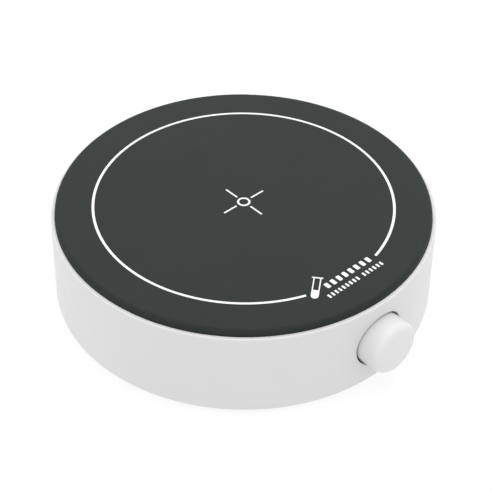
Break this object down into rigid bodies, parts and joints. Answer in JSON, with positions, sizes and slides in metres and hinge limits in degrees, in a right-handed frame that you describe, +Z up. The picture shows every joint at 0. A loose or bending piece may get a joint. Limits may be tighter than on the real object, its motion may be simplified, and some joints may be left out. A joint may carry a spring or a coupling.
{
  "type": "magnetic stirrer",
  "caption": "Compact round magnetic stirrer with a white housing, a dark flush work plate, a front speed knob and a rear power inlet.",
  "frame": {"origin": "on the bench plane, below the motor's axis", "axes": "+Z up along the motor's axis, knob towards -Y, power inlet towards +Y"},
  "size_m": [0.1226, 0.1304, 0.0331],
  "materials": {
    "casing_white": "fine satin moulding",
    "plate_dark": "dark grey, matt, printed in white",
    "tape": "thin double-sided tape",
    "foot_rubber": "soft matt",
    "screw_steel": "bright zinc",
    "zinc_steel": "zinc plated sheet",
    "ground_steel": "ground",
    "lamination": "stacked sheets, oiled",
    "ferrite": "sintered, dark",
    "plated_magnet": "nickel plated",
    "carbon": "pressed carbon",
    "brass": "plain",
    "copper": "enamelled copper",
    "alloy": "die cast",
    "knob_white": "smooth satin",
    "black_plastic": "moulded",
    "phenolic": "laminate with a carbon track",
    "board_green": "solder resist",
    "cap_sleeve": "shrunk sleeve",
    "connector_cream": "moulded nylon",
    "lead_red": "extruded insulation",
    "lead_grey": "extruded insulation",
    "lead_yellow": "extruded insulation",
    "lead_black": "extruded insulation"
  },
  "bodies": {
    "base": {"base_cover": "casing_white", "board_capacitors": "cap_sleeve", "board_chips": "black_plastic", "board_inductor": "ferrite", "board_screws": "screw_steel", "board_sockets": "connector_cream", "bracket_screws": "screw_steel", "control_board": "board_green", "control_case": "alloy", "control_leads": "lead_grey", "control_nut": "zinc_steel", "control_terminals": "screw_steel", "control_track": "phenolic", "control_washer": "zinc_steel", "cover_screws": "screw_steel", "field_magnets": "ferrite", "inlet_body": "black_plastic", "inlet_leads": "lead_black", "inlet_nut": "zinc_steel", "inlet_pin": "screw_steel", "inlet_terminals": "screw_steel", "lead_plugs": "connector_cream", "motor_bracket": "zinc_steel", "motor_brushes": "carbon", "motor_can": "zinc_steel", "motor_end_cap": "black_plastic", "motor_leads": "lead_red", "motor_screws": "screw_steel", "motor_terminals": "brass", "plate_adhesive": "tape", "rubber_feet": "foot_rubber", "shaft_bushes": "brass", "switch_case": "black_plastic", "switch_leads": "lead_yellow", "switch_terminals": "screw_steel", "top_housing": "casing_white", "work_plate": "plate_dark"},
    "rotor": {"motor_shaft": "ground_steel", "armature_core": "lamination", "armature_windings": "copper", "commutator": "copper", "magnet_carrier": "black_plastic", "flux_yoke": "zinc_steel", "drive_magnets": "plated_magnet"},
    "speed_knob": {"knob": "knob_white", "control_shaft": "alloy", "control_wiper": "black_plastic", "switch_cam": "black_plastic"}
  },
  "joints": [
    {"name": "rotor_spin", "type": "hinge", "parent": "base", "child": "rotor", "pos_m": [0, 0, 0.02], "axis": [0, 0, 1], "continuous": true},
    {"name": "knob_turn", "type": "hinge", "parent": "base", "child": "speed_knob", "pos_m": [0, -0.055, 0.01645], "axis": [0, 1, 0], "range_deg": [0, 300]}
  ]
}
